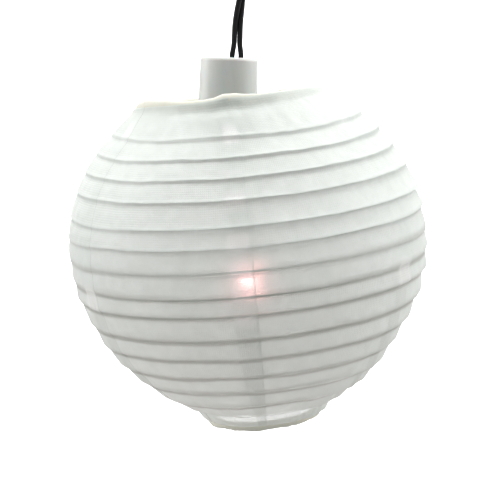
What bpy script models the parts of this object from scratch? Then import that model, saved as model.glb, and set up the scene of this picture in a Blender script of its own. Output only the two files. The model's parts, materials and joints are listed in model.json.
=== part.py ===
"""Accordion cloth lantern: a ribbed cloth ball on a hanger wire, with its lamp holder and drop wires.

The ball's shape is worked out about its own centre, with its axis along +Z and its front
towards -Y. Everything hangs from the loop at the top, whose inside is the part's origin.
"""

import math

import bmesh
import bpy
from mathutils import Matrix, Vector

MM = 0.001

# The cloth ball. Heights are above the ball's centre.
CLOTH_RADIUS = 40.0 * MM          # outside of the cloth where it is widest
WIDEST_HEIGHT = 2.0 * MM
UPPER_HALF_HEIGHT = 36.0 * MM     # where the upper half would close to a point
LOWER_HALF_HEIGHT = 41.5 * MM
UPPER_FULLNESS = 2.0              # exponent of the outline: 2 is an ellipse
LOWER_FULLNESS = 1.9              # under 2 is slimmer
TOP_RIM_HEIGHT = 33.0 * MM        # of its middle
# Height of each band of cloth, from the top rim down to the bottom rim. The ribs are glued
# in by hand and the lower bands carry less weight, so the bands differ.
BAND_HEIGHTS = [mm * MM for mm in (
    4.9, 3.8, 3.9, 4.3, 5.4, 4.4, 5.2, 5.6, 4.2, 5.7, 4.8, 4.7, 4.1, 4.2, 3.6, 3.2)]
BOTTOM_RIM_HEIGHT = TOP_RIM_HEIGHT - sum(BAND_HEIGHTS)

# Wires of the ball
RIB_WIRE_RADIUS = 0.25 * MM
RIM_WIRE_RADIUS = 0.4 * MM
TOP_RIM_RADIUS = 19.55 * MM       # middle of the wire
BOTTOM_RIM_RADIUS = 11.9 * MM
RING_SEGMENTS = 36
WIRE_SIDES = 5
# The top rim hangs a little askew on its hanger wire: its front and its +X side are high
TOP_RIM_SHIFT = -1.7 * MM         # along X
TOP_RIM_PITCH = math.radians(-5.5)
TOP_RIM_ROLL = math.radians(-2.4)

# Cloth
GORES = 6
CLOTH_THICKNESS = 0.3 * MM
CLEARANCE = 0.3 * MM
CLOTH_TOP_RADIUS = 22.0 * MM      # of the cloth's top edge, about the rim's own axis
CLOTH_TOP_DEPTH = 1.6 * MM        # of that edge below the rim wire
FIRST_SEAM = math.radians(-3.0)   # angle of the front seam, from -Y towards +X
HEM_WALL = 0.4 * MM
HEM_OUTER = 1.15 * MM             # from the rim wire's middle to the hem's outside
HEM_TUCK = 0.8 * MM               # half the gap in the top hem for an eye of the hanger wire

# Hanger wire, which crosses the top rim from front to back
HANGER_RADIUS = 0.35 * MM
EYE_RADIUS = 1.05 * MM            # middle of the wire, round the rim wire
EYE_SWEEP = math.radians(285.0)
RIM_PLACE = (Matrix.Translation((TOP_RIM_SHIFT, 0.0, TOP_RIM_HEIGHT))
             @ Matrix.Rotation(TOP_RIM_PITCH, 4, "X") @ Matrix.Rotation(TOP_RIM_ROLL, 4, "Y"))
PIVOT = RIM_PLACE @ Vector((0.0, 0.0, -EYE_RADIUS))

# Lamp holder, in its own frame: its origin is on the hanger wire and +Z is its axis
HOLDER_TILT = math.radians(7.5)   # towards +X, about the hanger wire
SHELL_TOP = 10.4 * MM
SHELL_BOTTOM = -5.0 * MM
SHELL_TOP_RADIUS = 6.4 * MM
SHELL_BOTTOM_RADIUS = 6.62 * MM
SHELL_WALL = 1.2 * MM
SHELL_ROOF = 1.5 * MM
SHELL_EDGE = 0.7 * MM
HOLDER_TURN = Matrix.Rotation(TOP_RIM_PITCH, 3, "X") @ Matrix.Rotation(HOLDER_TILT, 3, "Y")
SLOT_HALF_WIDTH = 0.65 * MM
PLUG_RADIUS = 5.1 * MM
PLUG_TOP = -0.65 * MM
FLANGE_RADIUS = 6.5 * MM
FLANGE_TOP = SHELL_BOTTOM - CLEARANCE
FLANGE_BOTTOM = FLANGE_TOP - 1.0 * MM
BOSS_RADIUS = 3.4 * MM
PLUG_BOTTOM = -8.0 * MM
CRIMP_BORE_RADIUS = 1.15 * MM
CRIMP_BORE_BOTTOM = -6.0 * MM
CRIMP_OUTER = 1.0 * MM
CRIMP_INNER = 0.8 * MM
CRIMP_SPAN = (-5.7 * MM, -2.2 * MM)
SEAL_RADIUS = 4.8 * MM
SEAL_SPAN = (6.9 * MM, 8.6 * MM)

# Drop wires: a pair that leaves the holder's roof off its middle and twists half a turn
DROP_WIRE_RADIUS = 0.625 * MM
WIRE_HOLE_RADIUS = 0.8 * MM
PAIR_OFFSET = 1.6 * MM            # of the pair's middle from the holder's axis, at the roof
PAIR_GAP_AT_ROOF = 2.0 * MM
PAIR_GAP = 1.55 * MM
PAIR_GAP_AT_JOINT = 2.1 * MM
WIRE_END_IN_HOLDER = -3.5 * MM
# The middle of the pair, from where it leaves the roof
PAIR_ROUTE = [Vector(point) * MM for point in (
    (0.0, 0.0, 0.0), (0.49, 0.35, 3.7), (1.1, 0.7, 7.9), (2.3, 1.0, 13.0), (3.7, 1.15, 18.0),
    (4.9, 1.2, 23.0), (5.7, 1.2, 28.0), (6.0, 1.2, 33.0), (6.0, 1.2, 37.0), (6.0, 1.2, 42.5))]
PAIR_LENGTH_OUT = 37.0 * MM       # up to the face of the strain relief

# String joint, above the drop wires
GLAND_BOTTOM_RADIUS = 2.3 * MM
GLAND_TOP_RADIUS = 3.1 * MM
GLAND_LENGTH = 5.0 * MM
JOINT_RADIUS = 4.2 * MM
JOINT_LENGTH = 13.0 * MM
JOINT_EDGE = 0.9 * MM
WIRE_DEPTH_IN_JOINT = 4.0 * MM
LUG_WIDTH = 5.6 * MM
LUG_THICKNESS = 2.2 * MM
LUG_HEIGHT = 4.6 * MM
LUG_HOLE_RADIUS = 1.3 * MM
LOOP_RADIUS = 4.6 * MM
LOOP_WIRE_RADIUS = 0.6 * MM

# Light-emitting diode on its long legs
LED_BASE_HEIGHT = -4.2 * MM
LED_RADIUS = 2.5 * MM
LED_FLANGE_RADIUS = 2.9 * MM
LED_FLANGE_HEIGHT = 1.0 * MM
LED_LENGTH = 8.6 * MM
LEG_SPACING = 2.54 * MM
LEG_RADIUS = 0.25 * MM
LEG_DEPTH_IN_LENS = 2.0 * MM
LEG_TOP_IN_HOLDER = -4.4 * MM
SLEEVE_OUTER = 0.6 * MM
SLEEVE_INNER = 0.4 * MM
# The middle of the two legs below the holder, about the ball's centre
LEG_ROUTE = [Vector(point) * MM for point in (
    (-2.95, -1.05, 22.3), (-2.9, -1.15, 19.0), (-2.2, -1.2, 14.5), (-1.2, -1.2, 9.5),
    (-0.35, -1.15, 4.5), (0.0, -1.1, 0.0), (0.0, -1.1, -3.0), (0.0, -1.1, -6.2))]

COLOURS = {
    "cloth": ((0.80, 0.81, 0.79, 1.0), 0.75, 0.0),
    "hem": ((0.80, 0.78, 0.68, 1.0), 0.7, 0.0),
    "rib_wire": ((0.55, 0.56, 0.57, 1.0), 0.35, 1.0),
    "white_plastic": ((0.72, 0.73, 0.72, 1.0), 0.4, 0.0),
    "black_insulation": ((0.015, 0.015, 0.017, 1.0), 0.45, 0.0),
    "black_rubber": ((0.02, 0.02, 0.022, 1.0), 0.6, 0.0),
    "seal_rubber": ((0.6, 0.6, 0.58, 1.0), 0.6, 0.0),
    "lens": ((0.95, 0.85, 0.85, 1.0), 0.1, 0.0),
    "leg_metal": ((0.6, 0.6, 0.58, 1.0), 0.3, 1.0),
    "brass": ((0.75, 0.58, 0.28, 1.0), 0.3, 1.0),
    "sleeve": ((0.85, 0.85, 0.83, 1.0), 0.5, 0.0),
}


def material(name):
    """The named material, made on first use."""
    found = bpy.data.materials.get(name)
    if found:
        return found
    colour, roughness, metallic = COLOURS[name]
    made = bpy.data.materials.new(name)
    made.use_nodes = True
    shader = made.node_tree.nodes["Principled BSDF"]
    shader.inputs["Base Color"].default_value = colour
    shader.inputs["Roughness"].default_value = roughness
    shader.inputs["Metallic"].default_value = metallic
    return made


def place(name, data, material_name, parent, location=(0.0, 0.0, 0.0)):
    """A scene object for a mesh or a curve, under the empty that carries it."""
    thing = bpy.data.objects.new(name, data)
    data.materials.append(material(material_name))
    bpy.context.collection.objects.link(thing)
    thing.parent = parent
    thing.location = location
    return thing


def empty(name, parent, location):
    frame = bpy.data.objects.new(name, None)
    bpy.context.collection.objects.link(frame)
    frame.parent = parent
    frame.location = location
    return frame


def finish_mesh(name, shape, sharp_angle=35.0):
    """A smooth-shaded mesh from a bmesh, with its faces pointing out."""
    bmesh.ops.recalc_face_normals(shape, faces=shape.faces)
    mesh = bpy.data.meshes.new(name)
    shape.to_mesh(mesh)
    shape.free()
    mesh.shade_smooth()
    mesh.set_sharp_from_angle(angle=math.radians(sharp_angle))
    return mesh


def around(radius, angle, height=0.0):
    """A point at a radius and height; the angle turns from -Y towards +X."""
    return Vector((radius * math.sin(angle), -radius * math.cos(angle), height))


def smoothstep(value):
    share = min(max(value, 0.0), 1.0)
    return share * share * (3.0 - 2.0 * share)


def arc(centre, radius, first, last, steps):
    """Points of an arc in an outline's (radius, height) plane; angles in degrees."""
    points = []
    for i in range(steps + 1):
        angle = math.radians(first + (last - first) * i / steps)
        points.append((centre[0] + radius * math.cos(angle), centre[1] + radius * math.sin(angle)))
    return points


def revolve_section(name, section, segments, start=0.0, sweep=math.tau):
    """Turn a closed section about Z, all the way or part of it with flat ends."""
    shape = bmesh.new()
    whole = abs(sweep - math.tau) < 1e-9
    stations = segments if whole else segments + 1
    rows = []
    for i in range(stations):
        angle = start + sweep * i / segments
        rows.append([shape.verts.new(around(radius, angle, height)) for radius, height in section])
    count = len(section)
    for i in range(segments):
        row, following = rows[i], rows[(i + 1) % stations]
        for j in range(count):
            k = (j + 1) % count
            shape.faces.new((row[j], row[k], following[k], following[j]))
    if not whole:
        shape.faces.new(rows[0])
        shape.faces.new(rows[-1])
    return finish_mesh(name, shape)


def revolve_outline(name, outline, segments):
    """Turn an outline that starts and ends on the axis about Z."""
    shape = bmesh.new()
    first = shape.verts.new((0.0, 0.0, outline[0][1]))
    last = shape.verts.new((0.0, 0.0, outline[-1][1]))
    rows = []
    for i in range(segments):
        angle = math.tau * i / segments
        rows.append([shape.verts.new(around(radius, angle, height))
                     for radius, height in outline[1:-1]])
    for i in range(segments):
        row, following = rows[i], rows[(i + 1) % segments]
        shape.faces.new((first, row[0], following[0]))
        for j in range(len(row) - 1):
            shape.faces.new((row[j], row[j + 1], following[j + 1], following[j]))
        shape.faces.new((row[-1], last, following[-1]))
    return finish_mesh(name, shape)


def smooth_points(route, count):
    """Points, evenly spread by parameter, on a Catmull-Rom curve through a route."""
    route = [Vector(point) for point in route]
    padded = [2.0 * route[0] - route[1]] + route + [2.0 * route[-1] - route[-2]]
    points = []
    for i in range(count):
        place_on_route = (len(route) - 1) * i / (count - 1)
        span = min(int(place_on_route), len(route) - 2)
        t = place_on_route - span
        a, b, c, d = padded[span:span + 4]
        points.append(0.5 * (2.0 * b + (c - a) * t + (2.0 * a - 5.0 * b + 4.0 * c - d) * t * t
                             + (3.0 * b - a - 3.0 * c + d) * t ** 3))
    return points


def tube(name, points, radius, material_name, parent, resolution=2):
    """A round wire along the points, with closed ends."""
    curve = bpy.data.curves.new(name, "CURVE")
    curve.dimensions = "3D"
    curve.bevel_depth = radius
    curve.bevel_resolution = resolution
    curve.use_fill_caps = True
    spline = curve.splines.new("POLY")
    spline.points.add(len(points) - 1)
    for spline_point, point in zip(spline.points, points):
        spline_point.co = (*point, 1.0)
        spline_point.radius = 1.0
    return place(name, curve, material_name, parent)


def hollow_tube(name, points, outer, inner, material_name, parent, sides=8):
    """A sleeve of two radii along points that lie near an XZ plane."""
    shape = bmesh.new()
    rows = []
    for i, point in enumerate(points):
        along = (points[min(i + 1, len(points) - 1)] - points[max(i - 1, 0)]).normalized()
        across = Vector((0.0, 1.0, 0.0))
        aside = across.cross(along).normalized()
        row = []
        for radius in (outer, inner):
            ring = []
            for j in range(sides):
                angle = math.tau * j / sides
                ring.append(shape.verts.new(
                    point + radius * (math.cos(angle) * across + math.sin(angle) * aside)))
            row.append(ring)
        rows.append(row)
    for row, following in zip(rows, rows[1:]):
        for ring, next_ring in zip(row, following):
            for j in range(sides):
                k = (j + 1) % sides
                shape.faces.new((ring[j], ring[k], next_ring[k], next_ring[j]))
    for outside, inside in (rows[0], rows[-1]):
        for j in range(sides):
            k = (j + 1) % sides
            shape.faces.new((outside[j], outside[k], inside[k], inside[j]))
    return place(name, finish_mesh(name, shape), material_name, parent)


def cylinder_mesh(name, radius, bottom, top, segments=12, turn=None):
    """A solid cylinder between two heights; turn re-aims it about the origin."""
    shape = bmesh.new()
    middle = Matrix.Translation((0.0, 0.0, (bottom + top) / 2.0))
    bmesh.ops.create_cone(shape, cap_ends=True, segments=segments, radius1=radius,
                          radius2=radius, depth=top - bottom, matrix=middle)
    if turn:
        bmesh.ops.transform(shape, matrix=turn, verts=shape.verts)
    return finish_mesh(name, shape)


def box_mesh(name, low, high):
    """A block between two corners."""
    shape = bmesh.new()
    size = [h - l for l, h in zip(low, high)]
    centre = [(h + l) / 2.0 for l, h in zip(low, high)]
    matrix = Matrix.Translation(centre) @ Matrix.Diagonal((*size, 1.0))
    bmesh.ops.create_cube(shape, size=1.0, matrix=matrix)
    return finish_mesh(name, shape)


def combine(target, mesh, location=(0.0, 0.0, 0.0), operation="DIFFERENCE"):
    """Cut a mesh out of an object, or join it on, with a modifier that stays."""
    other = place(mesh.name, mesh, target.data.materials[0].name, target.parent, location)
    other.hide_render = True
    other.display_type = "WIRE"
    step = target.modifiers.new(mesh.name, "BOOLEAN")
    step.operation = operation
    step.solver = "EXACT"
    step.object = other


def cloth_radius(height):
    """Outside radius of the cloth on a rib at this height."""
    if height > WIDEST_HEIGHT:
        half, fullness = UPPER_HALF_HEIGHT, UPPER_FULLNESS
    else:
        half, fullness = LOWER_HALF_HEIGHT, LOWER_FULLNESS
    share = abs(height - WIDEST_HEIGHT) / half
    return CLOTH_RADIUS * (1.0 - share ** fullness) ** (1.0 / fullness)


def rib_heights():
    """Heights of the ribs between the two rims, from the top."""
    heights = []
    height = TOP_RIM_HEIGHT
    for band in BAND_HEIGHTS[:-1]:
        height -= band
        heights.append(height)
    return heights


def wire_ring(name, ring_radius, wire_radius, height, parent):
    """A closed wire ring whose origin is its centre on the ball's axis."""
    section = [(ring_radius + wire_radius * math.cos(math.tau * i / WIRE_SIDES),
                wire_radius * math.sin(math.tau * i / WIRE_SIDES)) for i in range(WIRE_SIDES)]
    mesh = revolve_section(name, section, RING_SEGMENTS, FIRST_SEAM)
    return place(name, mesh, "rib_wire", parent, (0.0, 0.0, height))


def gore_rows():
    """Height and outside radius of each row of a gore, from hem to hem, on a level top rim."""
    rows = [(TOP_RIM_HEIGHT - CLOTH_TOP_DEPTH, CLOTH_TOP_RADIUS)]
    rows += [(height, cloth_radius(height)) for height in rib_heights()]
    rows.append((BOTTOM_RIM_HEIGHT + 2.0 * MM, BOTTOM_RIM_RADIUS + HEM_OUTER + 0.9 * MM))
    return rows


def make_rings(ball, rim):
    """The two rim wires and the ribs. A rib wire lies inside its row of cloth, square to it."""
    wire_ring("top_rim_ring", TOP_RIM_RADIUS, RIM_WIRE_RADIUS, 0.0, rim)
    rows = gore_rows()
    depth = CLOTH_THICKNESS + CLEARANCE + RIB_WIRE_RADIUS
    for number in range(1, len(rows) - 1):
        (height_above, radius_above), (height_below, radius_below) = rows[number - 1], rows[number + 1]
        span = math.hypot(radius_below - radius_above, height_above - height_below)
        height, radius = rows[number]
        radius -= depth * (height_above - height_below) / span
        height -= depth * (radius_below - radius_above) / span
        wire_ring(f"rib_ring_{number:02d}", radius, RIB_WIRE_RADIUS, height, ball)
    wire_ring("bottom_rim_ring", BOTTOM_RIM_RADIUS, RIM_WIRE_RADIUS, BOTTOM_RIM_HEIGHT, ball)


def gore_column(angle):
    """Points of the cloth's outside and of its inside down one line from hem to hem."""
    outside = [around(radius, angle, height) for height, radius in gore_rows()]
    outside[0] = RIM_PLACE @ around(CLOTH_TOP_RADIUS, angle, -CLOTH_TOP_DEPTH)
    level = around(1.0, angle + math.pi / 2.0)
    inside = []
    for i, point in enumerate(outside):
        down = outside[min(i + 1, len(outside) - 1)] - outside[max(i - 1, 0)]
        inside.append(point - CLOTH_THICKNESS * down.cross(level).normalized())
    return outside, inside


def make_gores(ball):
    """Six strips of cloth that share the ball between them, each a thin closed shell."""
    columns = RING_SEGMENTS // GORES
    for number in range(GORES):
        left = FIRST_SEAM + math.tau * number / GORES
        right = left + math.tau / GORES
        edge = CLEARANCE / 2.0 / BOTTOM_RIM_RADIUS
        angles = [left + edge + (right - left - 2.0 * edge) * i / columns
                  for i in range(columns + 1)]
        shape = bmesh.new()
        layers = []
        for layer in zip(*(gore_column(angle) for angle in angles)):
            grid = [[shape.verts.new(point) for point in row] for row in zip(*layer)]
            layers.append(grid)
        for grid in layers:
            for row, below in zip(grid, grid[1:]):
                for i in range(columns):
                    shape.faces.new((row[i], row[i + 1], below[i + 1], below[i]))
        border = [[grid[0][i] for i in range(columns + 1)]
                  + [row[-1] for row in grid[1:]]
                  + [grid[-1][i] for i in range(columns - 1, -1, -1)]
                  + [row[0] for row in grid[-2:0:-1]] for grid in layers]
        outside_edge, inside_edge = border
        for i in range(len(outside_edge)):
            k = (i + 1) % len(outside_edge)
            shape.faces.new((outside_edge[i], outside_edge[k], inside_edge[k], inside_edge[i]))
        name = f"cloth_gore_{number + 1}"
        place(name, finish_mesh(name, shape), "cloth", ball)


def hem_section(rim_radius, up, outer_leg, inner_leg):
    """A fold of cloth over a rim wire. up is 1 for a fold over it and -1 for one under it."""
    inner = HEM_OUTER - HEM_WALL
    outside = [(HEM_OUTER, -outer_leg)] + arc((0.0, 0.0), HEM_OUTER, 0.0, 180.0, 6)
    outside += [(-HEM_OUTER, -inner_leg)]
    inside = [(-inner, -inner_leg)] + arc((0.0, 0.0), inner, 180.0, 0.0, 4)
    inside += [(inner, -outer_leg)]
    return [(rim_radius + x, up * y) for x, y in outside + inside]


def make_hems(ball, rim):
    tuck = HEM_TUCK / TOP_RIM_RADIUS
    top = hem_section(TOP_RIM_RADIUS, 1.0, 1.2 * MM, 0.8 * MM)
    for side, start in (("right", 0.0), ("left", math.pi)):
        name = f"top_hem_{side}"
        mesh = revolve_section(name, top, RING_SEGMENTS // 2, start + tuck, math.pi - 2.0 * tuck)
        place(name, mesh, "hem", rim)
    bottom = hem_section(BOTTOM_RIM_RADIUS, -1.0, 1.6 * MM, 1.2 * MM)
    mesh = revolve_section("bottom_hem", bottom, RING_SEGMENTS, FIRST_SEAM)
    place("bottom_hem", mesh, "hem", ball, (0.0, 0.0, BOTTOM_RIM_HEIGHT))


def make_hanger_wire(rim):
    """A straight wire with an eye at each end that goes round the top rim wire."""
    def eye(side):
        points = []
        steps = 15
        for i in range(steps + 1):
            angle = -math.pi / 2.0 + EYE_SWEEP * i / steps
            points.append(Vector((0.0, side * (TOP_RIM_RADIUS + EYE_RADIUS * math.cos(angle)),
                                  EYE_RADIUS * math.sin(angle))))
        return points
    points = list(reversed(eye(-1.0))) + [Vector((0.0, 0.0, -EYE_RADIUS))] + eye(1.0)
    tube("hanger_wire", points, HANGER_RADIUS, "rib_wire", rim, resolution=1)


def make_holder_shell(holder):
    """The white cap: a cup upside down, with holes for the wires and slots for the hanger."""
    draft = (SHELL_BOTTOM_RADIUS - SHELL_TOP_RADIUS) / (SHELL_TOP - SHELL_BOTTOM)
    roof = SHELL_TOP - SHELL_ROOF
    inner_top = SHELL_TOP_RADIUS - SHELL_WALL
    inner_bottom = SHELL_BOTTOM_RADIUS - SHELL_WALL
    shoulder = (SHELL_TOP_RADIUS - SHELL_EDGE, SHELL_TOP - SHELL_EDGE)
    outline = [(0.0, roof), (inner_top, roof), (inner_bottom, SHELL_BOTTOM),
               (SHELL_BOTTOM_RADIUS, SHELL_BOTTOM),
               (SHELL_TOP_RADIUS + draft * SHELL_EDGE, SHELL_TOP - SHELL_EDGE)]
    outline += arc(shoulder, SHELL_EDGE, 30.0, 90.0, 2)
    outline.append((0.0, SHELL_TOP))
    shell = place("holder_shell", revolve_outline("holder_shell", outline, 32),
                  "white_plastic", holder)
    for side in (-1.0, 1.0):
        hole = cylinder_mesh("wire_hole", WIRE_HOLE_RADIUS, roof - MM, SHELL_TOP + MM)
        combine(shell, hole, (PAIR_OFFSET + side * PAIR_GAP_AT_ROOF / 2.0, 0.0, 0.0))
    slot = box_mesh("hanger_slot", (-SLOT_HALF_WIDTH, -8.0 * MM, SHELL_BOTTOM - MM),
                    (SLOT_HALF_WIDTH, 8.0 * MM, SLOT_HALF_WIDTH))
    combine(shell, slot)


def make_holder_plug(holder):
    """The plug that closes the cap under the hanger wire and carries the crimps and legs."""
    outline = [(0.0, PLUG_TOP), (PLUG_RADIUS, PLUG_TOP), (PLUG_RADIUS, FLANGE_TOP),
               (FLANGE_RADIUS, FLANGE_TOP), (FLANGE_RADIUS, FLANGE_BOTTOM),
               (BOSS_RADIUS, FLANGE_BOTTOM), (BOSS_RADIUS, PLUG_BOTTOM), (0.0, PLUG_BOTTOM)]
    plug = place("holder_plug", revolve_outline("holder_plug", outline, 28),
                 "white_plastic", holder)
    for side in (-1.0, 1.0):
        aside = (side * LEG_SPACING / 2.0, 0.0, 0.0)
        bore = [(0.0, PLUG_TOP + MM), (CRIMP_BORE_RADIUS, PLUG_TOP + MM),
                (CRIMP_BORE_RADIUS, CRIMP_BORE_BOTTOM), (2.0 * LEG_RADIUS, CRIMP_BORE_BOTTOM),
                (2.0 * LEG_RADIUS, PLUG_BOTTOM - MM), (0.0, PLUG_BOTTOM - MM)]
        combine(plug, revolve_outline("crimp_bore", bore, 12), aside)


def make_crimps(holder):
    bottom, top = CRIMP_SPAN
    section = [(CRIMP_INNER, bottom), (CRIMP_OUTER, bottom), (CRIMP_OUTER, top),
               (CRIMP_INNER, top)]
    for name, side in (("crimp_left", -1.0), ("crimp_right", 1.0)):
        mesh = revolve_section(name, section, 10)
        place(name, mesh, "brass", holder, (side * LEG_SPACING / 2.0, 0.0, 0.0))


def make_wire_seal(holder):
    bottom, top = SEAL_SPAN
    seal = place("wire_seal", cylinder_mesh("wire_seal", SEAL_RADIUS, bottom, top, segments=24),
                 "seal_rubber", holder)
    for side in (-1.0, 1.0):
        hole = cylinder_mesh("seal_hole", WIRE_HOLE_RADIUS, bottom - MM, top + MM)
        combine(seal, hole, (PAIR_OFFSET + side * PAIR_GAP_AT_ROOF / 2.0, 0.0, 0.0))


def in_holder(aside, up):
    """A point of the holder's own frame, about the ball's centre."""
    return PIVOT + HOLDER_TURN @ Vector((aside, 0.0, up))


def roof_exit():
    """Where the middle of the wire pair leaves the holder."""
    return in_holder(PAIR_OFFSET, SHELL_TOP)


def drop_wire_points(side):
    """One drop wire from its crimp, through the roof, and up into the string joint."""
    points = []
    straight_from = 6.4 * MM
    aside_at_crimp = side * LEG_SPACING / 2.0
    aside_at_roof = PAIR_OFFSET + side * PAIR_GAP_AT_ROOF / 2.0
    steps = 14
    for i in range(steps):
        up = WIRE_END_IN_HOLDER + (SHELL_TOP - WIRE_END_IN_HOLDER) * i / steps
        share = smoothstep((up - 1.2 * MM) / (straight_from - 1.2 * MM))
        points.append(in_holder(aside_at_crimp + (aside_at_roof - aside_at_crimp) * share, up))
    start = roof_exit()
    tilt_axis = HOLDER_TURN @ Vector((1.0, 0.0, 0.0))
    for middle in smooth_points(PAIR_ROUTE, 30):
        share = middle.z / PAIR_LENGTH_OUT
        closing = smoothstep(middle.z / (3.6 * MM))
        opening = smoothstep((share - 0.9) / 0.1)
        gap = PAIR_GAP_AT_ROOF + (PAIR_GAP - PAIR_GAP_AT_ROOF) * closing
        gap += (PAIR_GAP_AT_JOINT - PAIR_GAP) * opening
        turn = math.pi * smoothstep(share)
        level = smoothstep(share * 2.0)
        across = tilt_axis.lerp(Vector((1.0, 0.0, 0.0)), level)
        aside = math.cos(turn) * across + math.sin(turn) * Vector((0.0, 1.0, 0.0))
        points.append(start + middle + side * gap / 2.0 * aside)
    return points


def make_drop_wires(ball):
    for name, side in (("wire_left", -1.0), ("wire_right", 1.0)):
        tube(name, drop_wire_points(side), DROP_WIRE_RADIUS, "black_insulation", ball)


def joint_foot():
    """Bottom middle of the strain relief, about the ball's centre."""
    return roof_exit() + Vector((PAIR_ROUTE[-1].x, PAIR_ROUTE[-1].y, PAIR_LENGTH_OUT))


def loop_centre():
    """Middle of the hanging loop: its wire pulls up in the lug's hole."""
    rise = GLAND_LENGTH + CLEARANCE + JOINT_LENGTH + LUG_HEIGHT / 2.0
    wire_in_hole = LUG_HOLE_RADIUS - CLEARANCE - LOOP_WIRE_RADIUS
    return joint_foot() + Vector((0.0, 0.0, rise + wire_in_hole + LOOP_RADIUS))


def mount_point():
    """Inside top of the hanging loop, where a hook or a line holds the lantern."""
    return loop_centre() + Vector((0.0, 0.0, LOOP_RADIUS - LOOP_WIRE_RADIUS))


def make_string_joint(ball):
    """The moulded joint with its strain relief, lug and wire loop."""
    foot = joint_foot()
    gland_outline = [(0.0, 0.0), (GLAND_BOTTOM_RADIUS, 0.0), (GLAND_TOP_RADIUS, GLAND_LENGTH),
                     (0.0, GLAND_LENGTH)]
    gland = place("joint_gland", revolve_outline("joint_gland", gland_outline, 20),
                  "black_rubber", ball, foot)
    base = GLAND_LENGTH + CLEARANCE
    top = base + JOINT_LENGTH
    body_outline = [(0.0, base)]
    body_outline += arc((JOINT_RADIUS - JOINT_EDGE, base + JOINT_EDGE), JOINT_EDGE, -90.0, 0.0, 3)
    body_outline += arc((JOINT_RADIUS - JOINT_EDGE, top - JOINT_EDGE), JOINT_EDGE, 0.0, 90.0, 3)
    body_outline.append((0.0, top))
    body = place("string_joint", revolve_outline("string_joint", body_outline, 24),
                 "black_rubber", ball, foot)
    lug = box_mesh("joint_lug", (-LUG_WIDTH / 2.0, -LUG_THICKNESS / 2.0, top - MM),
                   (LUG_WIDTH / 2.0, LUG_THICKNESS / 2.0, top + LUG_HEIGHT))
    combine(body, lug, foot, "UNION")
    lie = Matrix.Rotation(math.pi / 2.0, 4, "X")
    lug_hole = cylinder_mesh("lug_hole", LUG_HOLE_RADIUS, -LUG_THICKNESS, LUG_THICKNESS,
                             segments=16, turn=lie)
    combine(body, lug_hole, foot + Vector((0.0, 0.0, top + LUG_HEIGHT / 2.0)))
    for side in (-1.0, 1.0):
        aside = foot + Vector((side * PAIR_GAP_AT_JOINT / 2.0, 0.0, 0.0))
        gland_hole = cylinder_mesh("gland_hole", WIRE_HOLE_RADIUS, -MM, GLAND_LENGTH + MM)
        combine(gland, gland_hole, aside)
        socket = cylinder_mesh("wire_socket", WIRE_HOLE_RADIUS, base - MM,
                               base + WIRE_DEPTH_IN_JOINT)
        combine(body, socket, aside)
    section = [(LOOP_RADIUS + LOOP_WIRE_RADIUS * math.cos(math.tau * i / 8),
                LOOP_WIRE_RADIUS * math.sin(math.tau * i / 8)) for i in range(8)]
    mesh = revolve_section("hanging_loop", section, 24)
    loop = place("hanging_loop", mesh, "leg_metal", ball, loop_centre())
    loop.rotation_euler = (0.0, math.pi / 2.0, 0.0)


def leg_points(side, first=None, last=None):
    """One leg of the diode, from its crimp to the lens, or the stretch between two heights."""
    aside = side * LEG_SPACING / 2.0
    points = [in_holder(aside, LEG_TOP_IN_HOLDER), in_holder(aside, PLUG_BOTTOM)]
    for middle in smooth_points(LEG_ROUTE, 16):
        level = smoothstep((PIVOT.z + PLUG_BOTTOM - middle.z) / (8.0 * MM))
        tilt = HOLDER_TILT * (1.0 - level)
        points.append(middle + aside * Vector((math.cos(tilt), 0.0, -math.sin(tilt))))
    if first is None:
        return points
    return [point for point in points if last <= point.z <= first]


def make_diode(ball):
    """A lamp lens that hangs on two stiff legs, each in its own sleeve."""
    for name, side in (("left", -1.0), ("right", 1.0)):
        tube(f"led_leg_{name}", leg_points(side), LEG_RADIUS, "leg_metal", ball, resolution=1)
        stretch = leg_points(side, 23.4 * MM, LED_BASE_HEIGHT + CLEARANCE)
        hollow_tube(f"leg_sleeve_{name}", stretch, SLEEVE_OUTER, SLEEVE_INNER, "sleeve", ball)
    outline = [(0.0, 0.0), (LED_FLANGE_RADIUS, 0.0), (LED_FLANGE_RADIUS, -LED_FLANGE_HEIGHT),
               (LED_RADIUS, -LED_FLANGE_HEIGHT)]
    outline += arc((0.0, LED_RADIUS - LED_LENGTH), LED_RADIUS, 0.0, -90.0, 6)
    middle = Vector((LEG_ROUTE[-1].x, LEG_ROUTE[-1].y, LED_BASE_HEIGHT))
    lens = place("led_lens", revolve_outline("led_lens", outline, 20), "lens", ball, middle)
    for side in (-1.0, 1.0):
        hole = cylinder_mesh("lens_hole", 2.0 * LEG_RADIUS, -LEG_DEPTH_IN_LENS - CLEARANCE, MM,
                             segments=8)
        combine(lens, hole, middle + Vector((side * LEG_SPACING / 2.0, 0.0, 0.0)))


def build():
    for thing in list(bpy.data.objects):
        bpy.data.objects.remove(thing, do_unlink=True)
    ball = empty("ball_frame", None, -mount_point())
    rim = empty("rim_frame", ball, RIM_PLACE.translation)
    rim.rotation_euler = RIM_PLACE.to_euler()
    holder = empty("holder_frame", ball, PIVOT)
    holder.rotation_euler = HOLDER_TURN.to_euler()
    make_rings(ball, rim)
    make_gores(ball)
    make_hems(ball, rim)
    make_hanger_wire(rim)
    make_holder_shell(holder)
    make_holder_plug(holder)
    make_crimps(holder)
    make_wire_seal(holder)
    make_drop_wires(ball)
    make_string_joint(ball)
    make_diode(ball)


build()
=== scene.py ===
import json
import math

import bmesh
import bpy
from mathutils import Matrix, Vector, noise


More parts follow.
